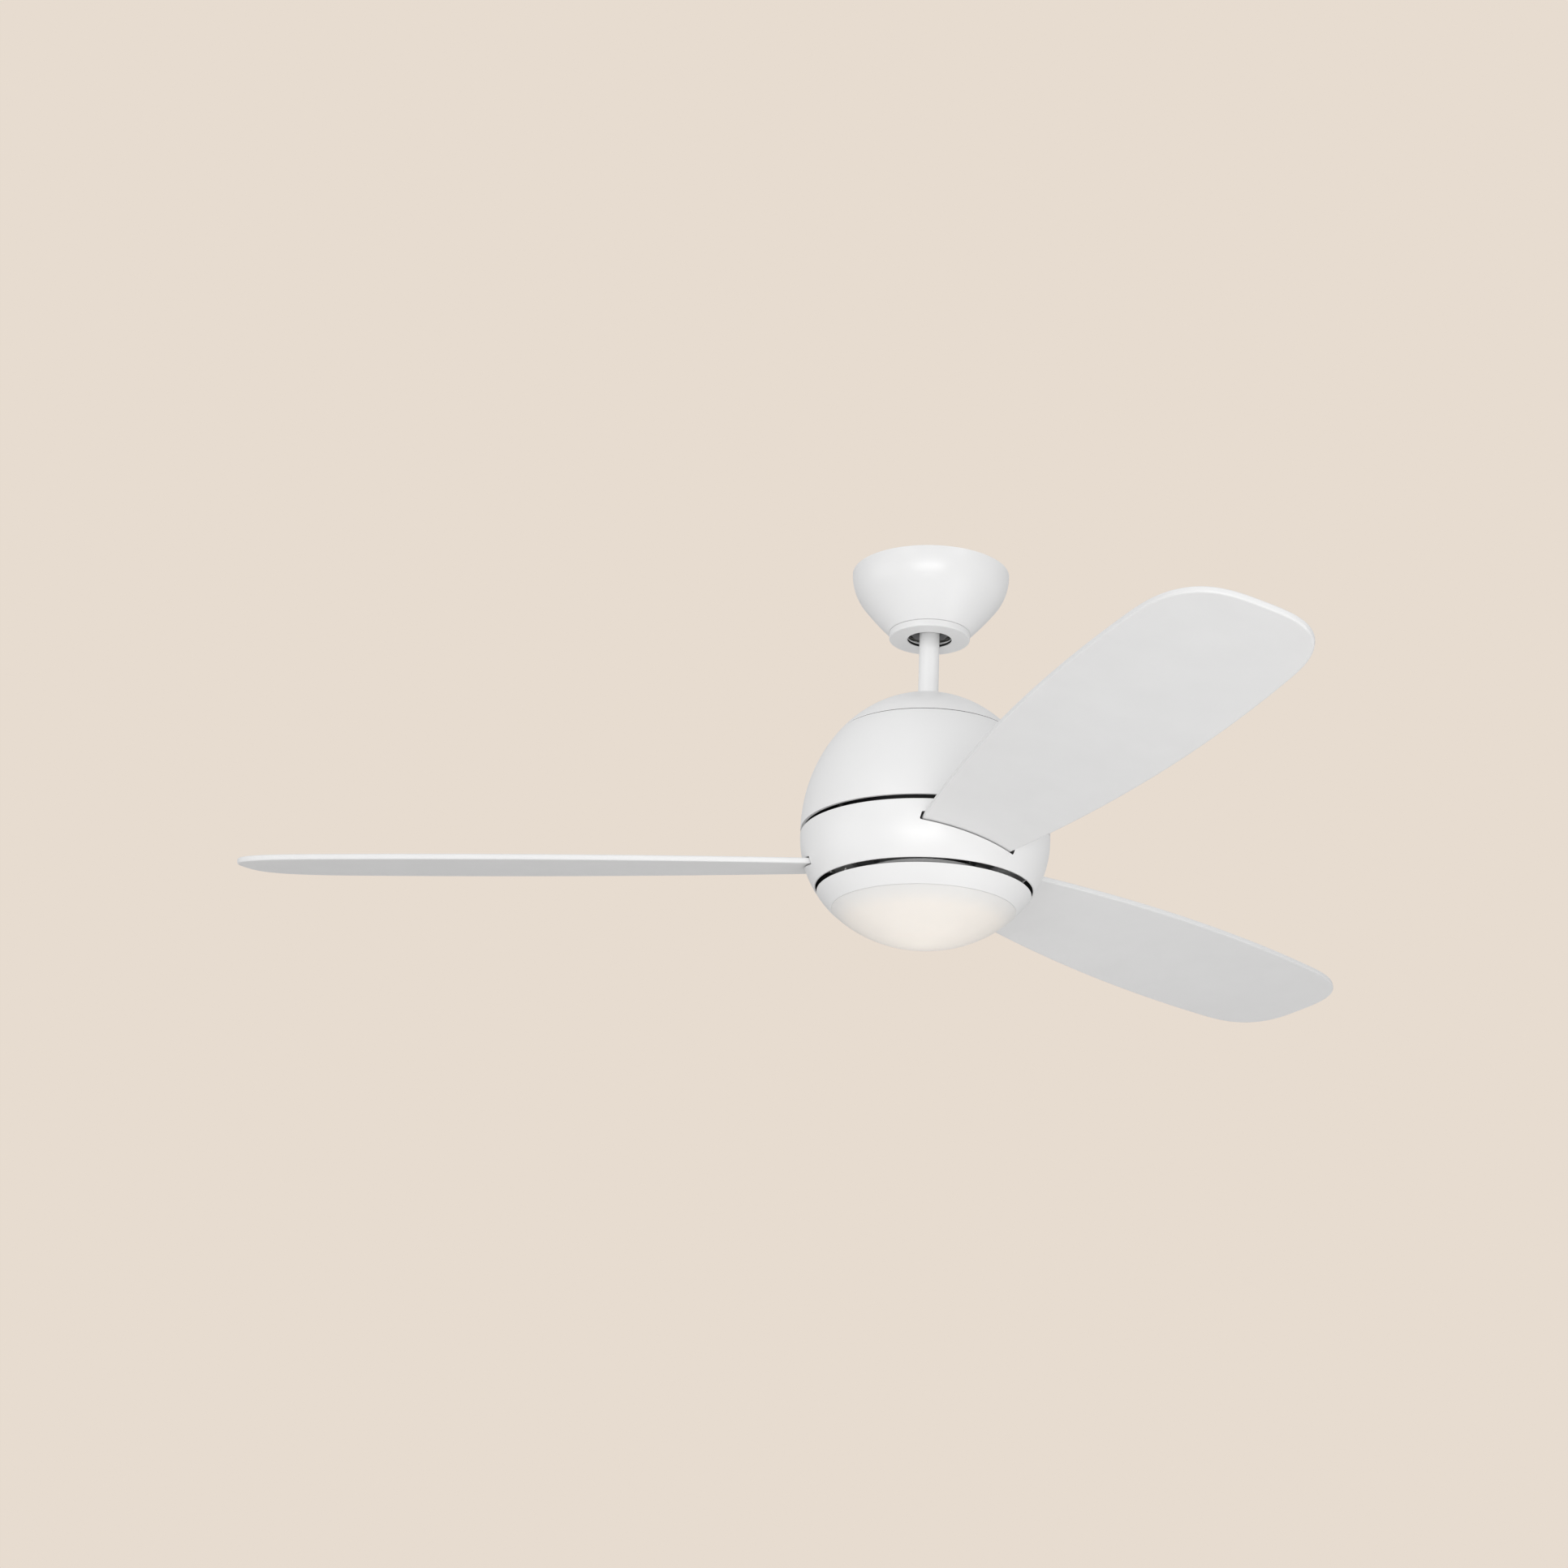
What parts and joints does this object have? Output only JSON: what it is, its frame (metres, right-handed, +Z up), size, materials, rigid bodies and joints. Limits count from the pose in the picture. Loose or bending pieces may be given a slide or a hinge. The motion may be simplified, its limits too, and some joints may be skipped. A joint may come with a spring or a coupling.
{
  "type": "ceiling fan with light",
  "caption": "Ceiling fan on a short downrod, with a round motor body, long paddle blades in a turning band and an opal dome light below.",
  "frame": {"origin": "centre of the mounting plane on the ceiling, on the fan's axis", "axes": "+Z up, square to the ceiling; the fan hangs in -Z; the two ceiling-box screws lie along X"},
  "size_m": [1.0927, 1.1595, 0.3672],
  "materials": {
    "canopy_paint": "satin",
    "housing_paint": "satin",
    "blade_paint": "matt",
    "steel": "zinc plated",
    "dark_steel": "machined, black oxide",
    "die_cast": "as cast",
    "copper": "enamelled wire",
    "brass": "bright",
    "nylon": "matt",
    "white_plastic": "matt",
    "orange_plastic": "gloss",
    "green_screw": "gloss",
    "felt": "soft",
    "board": "white solder mask",
    "led": "gloss",
    "opal": "satin, translucent"
  },
  "bodies": {
    "ceiling_mount": {"hanger_bracket": "steel", "canopy": "canopy_paint", "canopy_screws": "steel", "ground_screw": "green_screw", "receiver": "white_plastic", "wire_nuts": "orange_plastic"},
    "cover_ring": {"canopy_ring": "canopy_paint"},
    "ball_liner": {"ball_seat": "nylon"},
    "hanging_part": {"hanger_ball": "dark_steel", "ball_pin": "steel", "ball_set_screw": "dark_steel", "downrod": "housing_paint", "rod_coupling": "dark_steel", "coupling_pin": "steel", "pin_clip": "brass", "coupling_set_screws": "dark_steel", "motor_cap": "housing_paint", "upper_housing": "housing_paint", "housing_screws": "steel", "motor_shaft": "steel", "stator_core": "dark_steel", "stator_windings": "copper", "bearing_inner_races": "steel", "lead_bundle": "white_plastic", "light_plate": "steel", "plate_nut": "steel", "light_pan": "housing_paint", "pan_screws": "steel", "led_driver": "white_plastic", "led_tray": "white_plastic", "tray_screws": "steel", "led_board": "board", "leds": "led", "light_plug": "white_plastic", "pan_gasket": "felt"},
    "rotor": {"rotor_upper_cover": "die_cast", "rotor_lower_cover": "die_cast", "rotor_screws": "steel", "magnets": "dark_steel", "bearing_outer_races": "steel", "bearing_balls": "steel", "blade_band": "housing_paint", "blade_arms": "die_cast", "arm_screws": "steel", "blade_1": "blade_paint", "blade_2": "blade_paint", "blade_3": "blade_paint", "blade_screws": "steel"},
    "lens_dome": {"lens": "opal"}
  },
  "joints": [
    {"name": "ring_twist", "type": "hinge", "parent": "ceiling_mount", "child": "cover_ring", "pos_m": [0, 0, -0.0625], "axis": [0, 0, 1], "range_deg": [0, 15]},
    {"name": "ball_tilt_x", "type": "hinge", "parent": "ceiling_mount", "child": "ball_liner", "pos_m": [0, 0, -0.041], "axis": [1, 0, 0], "range_deg": [-12, 12]},
    {"name": "ball_tilt_y", "type": "hinge", "parent": "ball_liner", "child": "hanging_part", "pos_m": [0, 0, -0.041], "axis": [0, 1, 0], "range_deg": [-12, 12]},
    {"name": "rotor_spin", "type": "hinge", "parent": "hanging_part", "child": "rotor", "pos_m": [0, 0, -0.228], "axis": [0, 0, 1], "continuous": true},
    {"name": "lens_twist", "type": "hinge", "parent": "hanging_part", "child": "lens_dome", "pos_m": [0, 0, -0.334], "axis": [0, 0, 1], "range_deg": [0, 20]}
  ]
}
